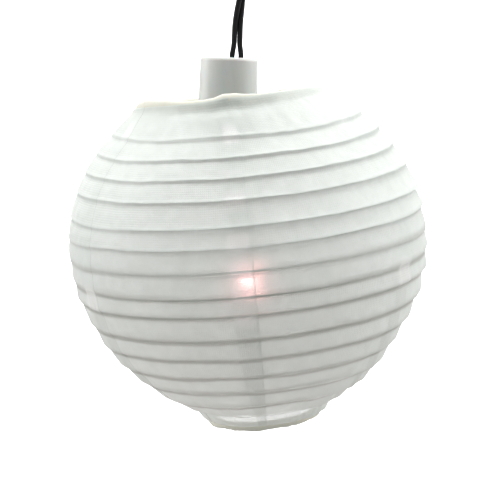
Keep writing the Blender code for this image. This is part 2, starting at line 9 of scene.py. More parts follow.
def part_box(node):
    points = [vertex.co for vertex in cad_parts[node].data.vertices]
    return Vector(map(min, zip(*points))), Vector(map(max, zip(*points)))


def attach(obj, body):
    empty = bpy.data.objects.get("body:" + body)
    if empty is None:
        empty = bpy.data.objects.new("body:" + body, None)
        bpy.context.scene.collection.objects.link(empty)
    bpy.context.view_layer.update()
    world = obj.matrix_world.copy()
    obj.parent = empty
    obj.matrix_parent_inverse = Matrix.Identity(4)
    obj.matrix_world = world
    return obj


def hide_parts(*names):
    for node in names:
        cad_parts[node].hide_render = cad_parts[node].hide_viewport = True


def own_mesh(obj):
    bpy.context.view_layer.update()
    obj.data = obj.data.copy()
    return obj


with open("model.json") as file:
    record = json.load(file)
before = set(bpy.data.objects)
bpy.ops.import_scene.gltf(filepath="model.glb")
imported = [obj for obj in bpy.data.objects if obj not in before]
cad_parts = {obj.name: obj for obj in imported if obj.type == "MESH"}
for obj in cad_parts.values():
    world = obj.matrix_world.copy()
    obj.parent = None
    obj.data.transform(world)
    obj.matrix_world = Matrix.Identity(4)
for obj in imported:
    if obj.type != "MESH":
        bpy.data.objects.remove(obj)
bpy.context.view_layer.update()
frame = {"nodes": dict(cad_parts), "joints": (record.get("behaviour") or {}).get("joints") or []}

MM = 0.001

# The camera looks down on the ball a little, and is rolled
CAMERA_DISTANCE = 0.5
CAMERA_ELEVATION = math.radians(9.9)
CAMERA_ROLL = math.radians(5.46)          # so that the ball's axis leans left in the picture
CAMERA_LENS = 160.2
SENSOR_WIDTH = 36.0
AIM_ASIDE = 0.34 * MM                     # of the picture's middle, from the ball's middle
AIM_UP = -1.15 * MM
BALL_DEPTH = 33.0 * MM                    # of the ball's middle, below the top rim's middle

# The cloth
GORES = 6
FIRST_SEAM = math.radians(-3.0)           # the front seam, turned from -Y towards +X
CLOTH_OVER_WIRE = 0.85 * MM               # from the rib wire's middle to the cloth's outside
CLOTH_OVER_RIM = 1.25 * MM                # of its top edge, out from the rim wire
CLOTH_END = (1.0 * MM, 0.25 * MM)         # of its bottom edge, out from the rim wire and above it
HEM_BACKING = 0.35                        # share of the top hem's height that the cloth goes up
SEAM_OVERLAP = 5.6 * MM
LAYER_GAP = 0.08 * MM                     # between the two layers of cloth at a seam
UNDER_LAYER_CLEAR = 0.62                  # share of light that goes straight through the under one
RIDGE_WIDTH = 0.4 * MM                    # of the ridge over a rib wire, in the upper half
RIDGE_HEIGHT = 0.16 * MM
TUCK_DEPTH = 0.42 * MM                    # of the dent under a rib, in the upper half
TUCK_TO_RIGHT = 0.1 * MM                  # what it gains on the right, and loses on the left
SAG_DEPTH = 0.952 * MM                    # of the slack cloth that hangs over a rib, low down
SAG_TO_RIGHT = 0.35 * MM
BILLOW = 0.35 * MM                        # of a band's middle, on the left
EYE_DENT = 0.9 * MM                       # in the front, under the hanger wire's eye
BAND_HEIGHT = 4.4 * MM                    # of a band between two ribs, on average
RIB_PAINTED_SHADE = 0.56                      # painted shade on the cloth's colour along a rib: the wire's shadow and the overhang's
LAP_PAINTED_SHADE = 0.2                       # and painted shade where the cloth is double, low down
COLUMN_SPACING = 0.7 * MM
ROWS_PER_BAND = 16

# The hems, round the rim wires
TOP_HEM_LEG = 1.9 * MM                    # reach of the outer leg past the rim wire
BOTTOM_HEM_LEG = 0.5 * MM
HEM_INSIDE = 1.2 * MM                     # reach of the inner leg
HEM_THICKNESS = 1.05 * MM                 # from the rim wire's middle to the outside

# Wires of the ball
RIB_WIRE_RADIUS = 0.25 * MM
RIM_WIRE_RADIUS = 0.4 * MM
TOP_RIM_PITCH = math.radians(-5.5)        # the front of the rim is high
TOP_RIM_ROLL = math.radians(-2.4)         # and its +X side
HANGER_RADIUS = 0.35 * MM
EYE_RADIUS = 1.05 * MM
EYE_SWEEP = math.radians(285.0)
EYE_WIDTH = 0.15                          # radians of the rim over which the cloth makes room for it

# Lamp holder, in its own frame: its origin is on the hanger wire and +Z is its axis
HOLDER_TILT = math.radians(7.5)           # towards +X, about the hanger wire
SHELL_TOP = 10.4 * MM
SHELL_BOTTOM = -5.0 * MM
SHELL_TOP_RADIUS = 6.4 * MM
SHELL_BOTTOM_RADIUS = 6.62 * MM
SHELL_WALL = 1.2 * MM
SHELL_ROOF = 1.5 * MM
SHELL_EDGE = 0.8 * MM
SLOT_HALF_WIDTH = 0.65 * MM
WIRE_HOLE_RADIUS = 0.8 * MM

# Drop wires, with the same route as their CAD solids
DROP_WIRE_RADIUS = 0.625 * MM
LEG_SPACING = 2.54 * MM
PAIR_OFFSET = 1.6 * MM
PAIR_GAP_AT_ROOF = 2.0 * MM
PAIR_GAP = 1.27 * MM                      # middle to middle: the wires touch
PAIR_GAP_AT_JOINT = 2.1 * MM
WIRE_END_IN_HOLDER = -3.5 * MM
PAIR_ROUTE = [Vector(point) * MM for point in (
    (0.0, 0.0, 0.0), (0.49, 0.35, 3.7), (1.1, 0.7, 7.9), (2.3, 1.0, 13.0), (3.7, 1.15, 18.0),
    (4.9, 1.2, 23.0), (5.7, 1.2, 28.0), (6.0, 1.2, 33.0), (6.0, 1.2, 37.0), (6.0, 1.2, 42.5))]
PAIR_TOUCHES_FROM = 3.6 * MM              # above the roof
PAIR_LENGTH_OUT = 37.0 * MM               # height from the roof to the string joint

# The lit chip of the diode, below the flat end of its lens
CHIP_DEPTH = 3.4 * MM
CHIP_ASIDE = 0.8 * MM                     # towards -X
CHIP_RADIUS = 1.1 * MM
CHIP_POWER = 0.0055
CHIP_COLOUR = (1.0, 0.47, 0.45)

# Light of the room; places are from the ball's middle, in metres, and powers in watts
WORLD_FRONT = 0.16                        # strength of the white room before the lantern
WORLD_BACK = 1.0                          # and behind it
WORLD_LEVEL = 0.75                        # what that is multiplied by at eye level
WORLD_OVERHEAD = 1.5                      # and overhead
AREA_LIGHTS = (                           # name, place, size and power
    ("key", (0.05, -0.05, 1.0), 0.5, 7.0),
    ("side_left", (-1.0, 0.35, 0.35), 0.6, 5.5),
    ("side_right", (1.0, 0.35, 0.35), 0.6, 7.5))
BACKDROP_POOLS = ((2.6, 80.0), (5.2, 80.0), (8.6, 120.0))   # distance behind, and power
BACKDROP_HEIGHT = 1.8
BACKDROP_SIZE = 1.6
BACKDROP_SPREAD = 110.0                   # degrees

# The floor, pale but darker under the lantern
FLOOR_HALF = 14.0
FLOOR_DEPTH = 0.4                         # below the ball's middle
DARK_WITHIN = 0.55                        # distance from the ball's axis
PALE_BEYOND = 1.1
FLOOR_DARK = 0.2
FLOOR_PALE = 0.78


# Places, from the frame

def middle_of(node_name):
    low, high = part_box(node_name)
    return (low + high) / 2.0


def ring_place(node_name, wire_radius):
    """Height of a CAD ring, and the radius of its wire's middle."""
    middle = middle_of(node_name)
    reach = max((vertex.co - middle).length
                for vertex in frame["nodes"][node_name].data.vertices)
    return middle.z, reach - wire_radius


RIBS = sorted(name for name in frame["nodes"] if name.startswith("rib_ring_"))
RIB_PLACES = [ring_place(name, RIB_WIRE_RADIUS) for name in RIBS]
TOP_RIM_RADIUS = ring_place("top_rim_ring", RIM_WIRE_RADIUS)[1]
BOTTOM_RIM = ring_place("bottom_rim_ring", RIM_WIRE_RADIUS)
AXIS = middle_of("bottom_rim_ring")
BALL_CENTRE = Vector((AXIS.x, AXIS.y, middle_of("top_rim_ring").z - BALL_DEPTH))
RIM_PLACE = (Matrix.Translation(middle_of("top_rim_ring"))
             @ Matrix.Rotation(TOP_RIM_PITCH, 4, "X") @ Matrix.Rotation(TOP_RIM_ROLL, 4, "Y"))
PIVOT = RIM_PLACE @ Vector((0.0, 0.0, -EYE_RADIUS))
FOLD = next(joint for joint in frame["joints"] if joint["name"] == "ball_fold")
FOLD_PLANE = Vector((AXIS.x, AXIS.y, FOLD["deforming_nodes"][0]["fixed_end_z_m"]))


def about_z(radius, angle, height=0.0):
    """A point about the Z axis; the angle turns from -Y towards +X."""
    return Vector((radius * math.sin(angle), -radius * math.cos(angle), height))


def level_place(height):
    """The place of a level ring on the ball's axis."""
    return Matrix.Translation((AXIS.x, AXIS.y, height))


def around(radius, angle, height):
    """A point about the ball's axis, at a height in the frame."""
    return level_place(height) @ about_z(radius, angle)


def smoothstep(value):
    share = min(max(value, 0.0), 1.0)
    return share * share * (3.0 - 2.0 * share)


def ramp(value, low, high):
    """0 at low, 1 at high, and smooth between them."""
    return smoothstep((value - low) / (high - low))


# Materials

WHITE = (1.0, 1.0, 1.0, 1.0)
# colour of the painted shadow of a wire seen through the cloth
PAINTED_WIRE_SHADOW = (0.30, 0.28, 0.23, 1.0)
# colour of the painted highlight on the glossy glue
GLUE_PAINTED_HIGHLIGHT = (0.96, 0.97, 0.96, 1.0)


def node(tree, kind, inputs=None, **settings):
    """A new shader node; an input is a value, or the socket that feeds it."""
    made = tree.nodes.new(kind)
    for key, value in settings.items():
        setattr(made, key, value)
    for key, value in (inputs or {}).items():
        if isinstance(value, bpy.types.NodeSocket):
            tree.links.new(value, made.inputs[key])
        else:
            made.inputs[key].default_value = value
    return made


def new_material(name):
    """An empty material, with its tree and its output node."""
    material = bpy.data.materials.new(name)
    material.use_nodes = True
    tree = material.node_tree
    tree.nodes.clear()
    return material, tree, node(tree, "ShaderNodeOutputMaterial")


def mottle(tree, low, high, scale, detail=3.0, coordinates="Object", stretch=(1.0, 1.0, 1.0)):
    """A colour that wanders between two colours, with the noise's own value."""
    where = node(tree, "ShaderNodeTexCoord").outputs[coordinates]
    mapped = node(tree, "ShaderNodeMapping", {"Vector": where, "Scale": stretch})
    cloud = node(tree, "ShaderNodeTexNoise",
                 {"Vector": mapped.outputs["Vector"], "Scale": scale, "Detail": detail})
    mixed = node(tree, "ShaderNodeMix", {"Factor": cloud.outputs["Fac"]}, data_type="RGBA")
    mixed.inputs[6].default_value = (*low, 1.0)
    mixed.inputs[7].default_value = (*high, 1.0)
    return mixed.outputs[2], cloud.outputs["Fac"]


def spread(tree, value, low, high):
    """A 0 to 1 value mapped to the range from low to high."""
    return node(tree, "ShaderNodeMapRange",
                {"Value": value, "To Min": low, "To Max": high}).outputs["Result"]


def bump(tree, height, strength, distance, under=None):
    inputs = {"Height": height, "Strength": strength, "Distance": distance}
    if under:
        inputs["Normal"] = under
    return node(tree, "ShaderNodeBump", inputs).outputs["Normal"]


def weave(tree, pitch):
    """Height of a plain weave, from UVs in millimetres."""
    uv = node(tree, "ShaderNodeTexCoord").outputs["UV"]
    scale = math.tau / (20.0 * pitch)
    threads = []
    for direction in ("X", "Y"):
        wave = node(tree, "ShaderNodeTexWave",
                    {"Vector": uv, "Scale": scale, "Distortion": 1.2, "Detail": 1.5,
                     "Detail Scale": 0.4}, bands_direction=direction)
        threads.append(wave.outputs["Fac"])
    return node(tree, "ShaderNodeMath", {0: threads[0], 1: threads[1]},
                operation="MULTIPLY").outputs["Value"]


def cloth_material(name, low, high, through, core_share, halo_share, weave_strength):
    """Thin white cloth: it scatters light back, and lets some through.

    through is the share of light that it scatters to its other side. core_share and halo_share
    go on nearly straight, so a lamp behind the cloth shows as a bright core in a wide halo. An
    edge glued under its neighbour is soaked with glue, and mostly clear.
    """
    material, tree, output = new_material(name)
    clean, cloud = mottle(tree, low, high, 420.0, 4.0)
    glue = node(tree, "ShaderNodeAttribute", attribute_name="glue").outputs["Fac"]
    rib = node(tree, "ShaderNodeAttribute", attribute_name="rib").outputs["Fac"]
    under = node(tree, "ShaderNodeAttribute", attribute_name="under").outputs["Fac"]
    # Painted shade: the cloth's colour is darkened along the ribs, where the wires' shadows and the
    # bands' overhangs fall, and along the seams low down
    shade = node(tree, "ShaderNodeMix", {"Factor": spread(tree, rib, 0.0, RIB_PAINTED_SHADE), 6: clean},
                 data_type="RGBA")
    shade.inputs[7].default_value = PAINTED_WIRE_SHADOW
    # Glue is glossy, and its colour is lightened towards white: a painted highlight
    glue_highlight = node(tree, "ShaderNodeMix", {"Factor": spread(tree, glue, 0.0, 0.75), 6: shade.outputs[2]},
                  data_type="RGBA")
    glue_highlight.inputs[7].default_value = GLUE_PAINTED_HIGHLIGHT
    colour = glue_highlight.outputs[2]
    normal = bump(tree, weave(tree, 0.5), weave_strength, 0.00006)
    normal = bump(tree, cloud, 0.5, 0.0003, normal)
    face = node(tree, "ShaderNodeBsdfPrincipled",
                {"Base Color": colour, "Roughness": spread(tree, glue, 0.85, 0.2),
                 "Specular IOR Level": 0.35, "Sheen Weight": 0.1, "Sheen Roughness": 0.6,
                 "Normal": normal})
    glow = node(tree, "ShaderNodeBsdfTranslucent", {"Color": colour, "Normal": normal})
    core = node(tree, "ShaderNodeBsdfRefraction",
                {"Color": WHITE, "Roughness": 0.72, "IOR": 1.04})
    halo = node(tree, "ShaderNodeBsdfRefraction",
                {"Color": WHITE, "Roughness": 0.85, "IOR": 1.15})
    soft = node(tree, "ShaderNodeMixShader",
                {0: through, 1: face.outputs["BSDF"], 2: glow.outputs["BSDF"]})
    ringed = node(tree, "ShaderNodeMixShader",
                  {0: halo_share, 1: soft.outputs["Shader"], 2: halo.outputs["BSDF"]})
    whole = node(tree, "ShaderNodeMixShader",
                 {0: core_share, 1: ringed.outputs["Shader"], 2: core.outputs["BSDF"]})
    clear = node(tree, "ShaderNodeBsdfTransparent")
    layered = node(tree, "ShaderNodeMixShader",
                   {0: spread(tree, under, 0.0, UNDER_LAYER_CLEAR), 1: whole.outputs["Shader"],
                    2: clear.outputs["BSDF"]})
    tree.links.new(layered.outputs["Shader"], output.inputs["Surface"])
    return material


def solid_material(name, low, high, roughness, scale=60.0, metallic=0.0, grain=0.1,
                   grain_depth=0.00005, stretch=(1.0, 1.0, 1.0), **sockets):
    """A rigid or rubbery surface with a wandering colour, roughness and fine grain."""
    material, tree, output = new_material(name)
    colour, cloud = mottle(tree, low, high, scale, stretch=stretch)
    shader = node(tree, "ShaderNodeBsdfPrincipled",
                  {"Base Color": colour, "Metallic": metallic,
                   "Roughness": spread(tree, cloud, roughness[0], roughness[1]),
                   "Normal": bump(tree, cloud, grain, grain_depth)})
    for socket, value in sockets.items():
        shader.inputs[socket.replace("_", " ")].default_value = value
    tree.links.new(shader.outputs["BSDF"], output.inputs["Surface"])
    return material


CLOTH = cloth_material("cloth_look", (0.745, 0.795, 0.765), (0.865, 0.915, 0.885),
                       through=0.31, core_share=0.11, halo_share=0.06, weave_strength=0.45)
HEM = cloth_material("hem_look", (0.84, 0.83, 0.70), (0.91, 0.91, 0.85),
                     through=0.2, core_share=0.0, halo_share=0.0, weave_strength=0.6)
RIB_WIRE = solid_material("rib_wire_look", (0.45, 0.45, 0.44), (0.62, 0.62, 0.61),
                          (0.3, 0.5), metallic=1.0)
WHITE_PLASTIC = solid_material(
    "white_plastic_look", (0.57, 0.595, 0.57), (0.66, 0.68, 0.66), (0.38, 0.5), scale=120.0,
    stretch=(6.0, 6.0, 0.4), Subsurface_Weight=0.25, Subsurface_Scale=0.002)
BLACK_INSULATION = solid_material("black_insulation_look", (0.004, 0.004, 0.005),
                                  (0.012, 0.012, 0.013), (0.5, 0.6), scale=200.0,
                                  Specular_IOR_Level=0.25)
BLACK_RUBBER = solid_material("black_rubber_look", (0.012, 0.012, 0.013),
                              (0.025, 0.025, 0.026), (0.5, 0.65), scale=300.0, grain=0.3)
SEAL_RUBBER = solid_material("seal_rubber_look", (0.52, 0.52, 0.49), (0.62, 0.62, 0.6),
                             (0.5, 0.65), scale=300.0)
LENS = solid_material("lens_look", (0.9, 0.78, 0.78), (1.0, 0.9, 0.9), (0.06, 0.12),
                      Emission_Color=(1.0, 0.45, 0.42, 1.0), Emission_Strength=1.5)
LEG_METAL = solid_material("leg_metal_look", (0.5, 0.5, 0.48), (0.68, 0.68, 0.66),
                           (0.2, 0.35), metallic=1.0)
BRASS = solid_material("brass_look", (0.62, 0.45, 0.2), (0.8, 0.62, 0.32), (0.22, 0.38),
                       metallic=1.0)
SLEEVE = solid_material("sleeve_look", (0.72, 0.72, 0.7), (0.84, 0.84, 0.82), (0.4, 0.55))


# Building blocks

def add_piece(name, data, material, body, slot, *nodes):
    """A visible piece on a CAD body, which may stand for CAD nodes."""
    piece = bpy.data.objects.new(name, data)
    bpy.context.scene.collection.objects.link(piece)
    data.materials.append(material)
    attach(piece, body)
    if nodes:
        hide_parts(*nodes)
    return piece


def smooth_mesh(name, shape, sharp_angle=35.0):
    """A smooth-shaded mesh from a bmesh, with its faces pointing out."""
    bmesh.ops.recalc_face_normals(shape, faces=shape.faces)
    mesh = bpy.data.meshes.new(name)
    shape.to_mesh(mesh)
    shape.free()
    mesh.shade_smooth()
    mesh.set_sharp_from_angle(angle=math.radians(sharp_angle))
    return mesh


def arc(centre, radius, first, last, steps):
    """Points of an arc in an outline's (radius, height) plane; angles in degrees."""
    points = []
    for i in range(steps + 1):
        angle = math.radians(first + (last - first) * i / steps)
        points.append((centre[0] + radius * math.cos(angle), centre[1] + radius * math.sin(angle)))
    return points


def turned(name, outline, segments, matrix):
    """A mesh turned about Z from an outline that starts and ends on the axis."""
    shape = bmesh.new()
    first = shape.verts.new((0.0, 0.0, outline[0][1]))
    last = shape.verts.new((0.0, 0.0, outline[-1][1]))
    rows = []
    for i in range(segments):
        angle = math.tau * i / segments
        rows.append([shape.verts.new(about_z(radius, angle, height))
                     for radius, height in outline[1:-1]])
    for i in range(segments):
        row, following = rows[i], rows[(i + 1) % segments]
        shape.faces.new((first, row[0], following[0]))
        for j in range(len(row) - 1):
            shape.faces.new((row[j], row[j + 1], following[j + 1], following[j]))
        shape.faces.new((row[-1], last, following[-1]))
    bmesh.ops.transform(shape, matrix=matrix, verts=shape.verts)
    return smooth_mesh(name, shape)


def block(name, low, high, matrix):
    """A block between two corners of a frame."""
    shape = bmesh.new()
    size = Vector(high) - Vector(low)
    middle = Matrix.Translation((Vector(high) + Vector(low)) / 2.0)
    bmesh.ops.create_cube(shape, size=1.0, matrix=matrix @ middle @ Matrix.Diagonal((*size, 1.0)))
    return smooth_mesh(name, shape)


def ring_mesh(name, rows):
    """A closed ring from its closed sections: one row of points for each angle."""
    shape = bmesh.new()
    grid = [[shape.verts.new(point) for point in row] for row in rows]
    count = len(grid[0])
    for i, row in enumerate(grid):
        following = grid[(i + 1) % len(grid)]
        for j in range(count):
            k = (j + 1) % count
            shape.faces.new((row[j], row[k], following[k], following[j]))
    return smooth_mesh(name, shape, 80.0)


def wire_curve(name, points, radius, resolution=4):
    """A round wire along the points, with closed ends."""
    curve = bpy.data.curves.new(name, "CURVE")
    curve.dimensions = "3D"
    curve.bevel_depth = radius
    curve.bevel_resolution = resolution
    curve.use_fill_caps = True
    spline = curve.splines.new("POLY")
    spline.points.add(len(points) - 1)
    for spline_point, point in zip(spline.points, points):
        spline_point.co = (*point, 1.0)
    return curve


def smooth_points(route, count):
    """Points on a Catmull-Rom curve through a route."""
    route = [Vector(point) for point in route]
    padded = [2.0 * route[0] - route[1]] + route + [2.0 * route[-1] - route[-2]]
    points = []
    for i in range(count):
        place_on_route = (len(route) - 1) * i / (count - 1)
        span = min(int(place_on_route), len(route) - 2)
        t = place_on_route - span
        a, b, c, d = padded[span:span + 4]
        points.append(0.5 * (2.0 * b + (c - a) * t + (2.0 * a - 5.0 * b + 4.0 * c - d) * t * t
                             + (3.0 * b - a - 3.0 * c + d) * t ** 3))
    return points


# Drop wires

HOLDER_TURN = Matrix.Rotation(TOP_RIM_PITCH, 3, "X") @ Matrix.Rotation(HOLDER_TILT, 3, "Y")
HOLDER_FRAME = Matrix.Translation(PIVOT) @ HOLDER_TURN.to_4x4()


def in_holder(aside, up):
    return HOLDER_FRAME @ Vector((aside, 0.0, up))


def drop_wire_points(side):
    """One drop wire from its crimp, through the roof, and up into the string joint."""
    straight_from = 6.4 * MM
    spread_from = 1.2 * MM
    inside_steps = 20
    points = []
    aside_at_crimp = side * LEG_SPACING / 2.0
    aside_at_roof = PAIR_OFFSET + side * PAIR_GAP_AT_ROOF / 2.0
    for i in range(inside_steps):
        up = WIRE_END_IN_HOLDER + (SHELL_TOP - WIRE_END_IN_HOLDER) * i / inside_steps
        share = ramp(up, spread_from, straight_from)
        points.append(in_holder(aside_at_crimp + (aside_at_roof - aside_at_crimp) * share, up))
    start = in_holder(PAIR_OFFSET, SHELL_TOP)
    tilt_axis = HOLDER_TURN @ Vector((1.0, 0.0, 0.0))
    for middle in smooth_points(PAIR_ROUTE, 70):
        share = middle.z / PAIR_LENGTH_OUT
        closing = smoothstep(middle.z / PAIR_TOUCHES_FROM)
        opening = smoothstep((share - 0.9) / 0.1)
        gap = PAIR_GAP_AT_ROOF + (PAIR_GAP - PAIR_GAP_AT_ROOF) * closing
        gap += (PAIR_GAP_AT_JOINT - PAIR_GAP) * opening
        turn = math.pi * smoothstep(share)
        across = tilt_axis.lerp(Vector((1.0, 0.0, 0.0)), smoothstep(share * 2.0))
        aside = math.cos(turn) * across + math.sin(turn) * Vector((0.0, 1.0, 0.0))
        points.append(start + middle + side * gap / 2.0 * aside)
    return points


def make_drop_wires():
    for name, side in (("wire_left", -1.0), ("wire_right", 1.0)):
        curve = wire_curve(name, drop_wire_points(side), DROP_WIRE_RADIUS, 6)
        wire = add_piece("drop_" + name, curve, BLACK_INSULATION, "lamp_holder",
                         "black_insulation", name)


# The cloth ball. A station counts bands from the top rim: 0 is the rim and 1 the first rib.

def rib_crests():
    """Height and radius of the cloth on each rib: outside its wire, square to the outline."""
    ends = [(FOLD_PLANE.z, TOP_RIM_RADIUS)] + RIB_PLACES + [BOTTOM_RIM]
    crests = []
    for above, (height, radius), below in zip(ends, RIB_PLACES, ends[2:]):
        run = math.hypot(below[1] - above[1], above[0] - below[0])
        crests.append((height + CLOTH_OVER_WIRE * (below[1] - above[1]) / run,
                       radius + CLOTH_OVER_WIRE * (above[0] - below[0]) / run))
    return crests


CREST = rib_crests()
BANDS = len(CREST) + 1
WIDEST = max(radius for height, radius in CREST)


def wander(angle, level, pace, seed):
    """Smooth noise from -1 to 1 that closes on itself round the ball."""
    return noise.noise(Vector((pace * math.sin(angle), pace * math.cos(angle),
                               level + 17.3 * seed)))


def over_eye(angle):
    """1 over an eye of the hanger wire, at the front and at the back, and 0 away from it."""
    return math.exp(-(math.remainder(angle, math.pi) / EYE_WIDTH) ** 2)


def top_rise(angle):
    """Height of the top hem over its rim wire: it stands up at the front left and back left."""
    front_left = max(0.0, math.cos(angle + math.radians(62.0))) ** 6
    back_left = max(0.0, math.cos(angle + math.radians(140.0))) ** 6
    return (0.65 + 1.75 * front_left + 0.9 * back_left + 0.9 * over_eye(angle)) * MM


def crest_point(number, angle):
    """A point of the cloth at a rim or on a rib, which wanders a little round the ball."""
    if number == 0:
        return RIM_PLACE @ about_z(TOP_RIM_RADIUS + CLOTH_OVER_RIM, angle,
                                   HEM_BACKING * top_rise(angle))
    if number == BANDS:
        return around(BOTTOM_RIM[1] + CLOTH_END[0], angle, BOTTOM_RIM[0] + CLOTH_END[1])
    height, radius = CREST[number - 1]
    height += 0.35 * MM * wander(angle, 3.1 * number, 2.2, 1)
    height += 0.12 * MM * wander(angle, 5.7 * number, 9.0, 5)
    return around(radius, angle, height)


def cloth_surface(angle, station, lift):
    """A point of the cloth: a ridge on each rib, slack bands between, and small wrinkles."""
    band = min(int(station), BANDS - 1)
    t = station - band
    upper = crest_point(band, angle)
    down = crest_point(band + 1, angle) - upper
    run = down.length
    out = down.cross(about_z(1.0, angle + math.pi / 2.0)).normalized()
    point = upper + down * t
    height = point.z
    low_half = ramp(BALL_CENTRE.z - height, -8.0 * MM, 8.0 * MM)
    side = math.sin(angle)
    tuck = (TUCK_DEPTH + TUCK_TO_RIGHT * side) * (1.0 - t * t) * ramp(t, 0.0, 0.2)
    ridge = RIDGE_HEIGHT * (math.exp(-(t * run / RIDGE_WIDTH) ** 2)
                            + math.exp(-((1.0 - t) * run / RIDGE_WIDTH) ** 2))
    sag = (SAG_DEPTH + SAG_TO_RIGHT * side) * t * (1.0 - ramp(t, 0.66, 1.0))
    sag *= 1.0 + 0.3 * wander(angle, 2.3 * band, 1.6, 2)
    billow = BILLOW * max(0.0, -side) * math.sin(math.pi * t)
    wrinkle = 0.22 * MM * wander(angle, height / (9.0 * MM), 5.0, 3)
    wrinkle += 0.10 * MM * wander(angle, height / (5.0 * MM), 13.0, 4)
    if band == 0:
        front = max(0.0, math.cos(angle)) ** 10
        wrinkle -= EYE_DENT * front * math.exp(-((t - 0.22) / 0.14) ** 2)
    offset = low_half * sag + (1.0 - low_half) * (billow - tuck + ridge)
    offset += wrinkle * min(1.0, 4.0 * t, 4.0 - 4.0 * t) + lift
    return point + out * offset


def gore_grid(left, right):
    """Rows of points over one gore, from hem to hem, denser beside the ribs.

    Its left edge lies under the next gore.
    """
    columns = int((right - left) * WIDEST / COLUMN_SPACING)
    stations = []
    for band in range(BANDS):
        for i in range(ROWS_PER_BAND):
            share = i / ROWS_PER_BAND
            t = share - 0.7 * math.sin(math.tau * share) / math.tau
            stations.append(band + t)
    stations.append(float(BANDS))
    grid = []
    for station in stations:
        row = []
        for j in range(columns + 1):
            share = j / columns
            angle = left + (right - left) * share
            lift = -LAYER_GAP * (1.0 - smoothstep(share * 8.0 - 3.5))
            row.append((cloth_surface(angle, station, lift), angle, station))
        grid.append(row)
    return grid


def nearest_seam(angle):
    pitch = math.tau / GORES
    return FIRST_SEAM + pitch * round((angle - FIRST_SEAM) / pitch)


def off_seam(angle):
    """Distance round the widest part from the middle of the nearest seam."""
    return abs(angle - nearest_seam(angle)) * WIDEST


def glue_and_painted_highlight(angle, station):
    """How much glue shows on a seam: glossy runs, one rib or two long, beside the seam, lightened in
    colour by a painted highlight.
    """
    run = wander(nearest_seam(angle) * 3.0, station * 0.8, 1.0, 6)
    high_up = 1.0 - ramp(station, 9.0, 11.0)
    return high_up * (1.0 - ramp(off_seam(angle), 1.5 * MM, 3.2 * MM)) * ramp(run, 0.0, 0.25)


def painted_rib_shade(station):
    """How much painted shade darkens the cloth at a rib, for the wire's shadow and the band's overhang:
    under it high up, over it low down.
    """
    nearest = round(station)
    if nearest in (0, BANDS):
        return 0.0
    off = (station - nearest) * BAND_HEIGHT
    low_half = ramp(nearest, 5.0, 9.0)
    above = 0.15 * MM + 0.95 * MM * low_half
    below = 0.7 * MM - 0.4 * MM * low_half
    width = above if off < 0.0 else below
    return (0.15 + 0.85 * low_half) * math.exp(-(off / width) ** 2)


def painted_lap_shade(angle, station):
    """How much painted shade darkens the cloth where a seam's second layer lies, low down, where light
    comes through it.
    """
    return LAP_PAINTED_SHADE * float(off_seam(angle) < SEAM_OVERLAP / 2.0) * ramp(station, 7.0, 10.0)


def cloth_mesh(name, grid):
    """A mesh over a grid of points, with UVs in millimetres, and glue, rib and under attributes; rib
    holds painted shade.
    """
    mesh = bpy.data.meshes.new(name)
    across = len(grid[0])
    points = [point for row in grid for point, angle, station in row]
    faces = [(i * across + j, (i + 1) * across + j, (i + 1) * across + j + 1, i * across + j + 1)
             for i in range(len(grid) - 1) for j in range(across - 1)]
    mesh.from_pydata(points, [], faces)
    down = [0.0]
    for row, above in zip(grid[1:], grid):
        down.append(down[-1] + (row[across // 2][0] - above[across // 2][0]).length)
    flat = [(angle * WIDEST / MM, down[i] / MM)
            for i, row in enumerate(grid) for point, angle, station in row]
    uv = mesh.uv_layers.new(name="UVMap")
    for loop in mesh.loops:
        uv.data[loop.index].uv = flat[loop.vertex_index]
    left_edge = grid[0][0][1]
    looks = {
        "glue": glue_and_painted_highlight,
        # rib is painted shade: of the wires and overhangs, and of the double cloth low down
        "rib": lambda angle, station: max(painted_rib_shade(station), painted_lap_shade(angle, station)),
        "under": lambda angle, station: float((angle - left_edge) * WIDEST < SEAM_OVERLAP),
    }
    for attribute, strength in looks.items():
        values = [strength(angle, station) for row in grid for point, angle, station in row]
        mesh.attributes.new(attribute, "FLOAT", "POINT").data.foreach_set("value", values)
    mesh.shade_smooth()
    return mesh


def make_gores():
    """Six strips of cloth, each glued over the edge of the next."""
    pitch = math.tau / GORES
    half_lap = SEAM_OVERLAP / 2.0 / WIDEST
    for number in range(GORES):
        middle_seam = FIRST_SEAM + pitch * number
        grid = gore_grid(middle_seam - half_lap, middle_seam + pitch + half_lap)
        mesh = cloth_mesh(f"gore_{number + 1}", grid)
        gore = add_piece(f"gore_{number + 1}", mesh, CLOTH, "ball_top", "cloth",
                         f"cloth_gore_{number + 1}")
        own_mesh(gore)


def make_rings():
    """Smooth wire rings, in the place of the CAD's plain ones."""
    rings = [("top_rim_ring", "ball_top", TOP_RIM_RADIUS, RIM_WIRE_RADIUS, RIM_PLACE),
             ("bottom_rim_ring", "ball_bottom", BOTTOM_RIM[1], RIM_WIRE_RADIUS,
              level_place(BOTTOM_RIM[0]))]
    rings += [(name, f"rib_{name[-2:]}", radius, RIB_WIRE_RADIUS, level_place(height))
              for name, (height, radius) in zip(RIBS, RIB_PLACES)]
    steps, sides = 160, 8
    for name, body, radius, wire, place in rings:
        section = [(radius + wire * math.cos(math.tau * k / sides),
                    wire * math.sin(math.tau * k / sides)) for k in range(sides)]
        rows = [[place @ about_z(x, math.tau * i / steps, z) for x, z in section]
                for i in range(steps)]
        add_piece("wire_" + name, ring_mesh("wire_" + name, rows), RIB_WIRE, body, "rib_wire", name)


def bottom_rise(angle):
    """Depth of the bottom hem under its rim wire."""
    return (0.85 + 0.15 * math.cos(angle + 0.3)) * MM


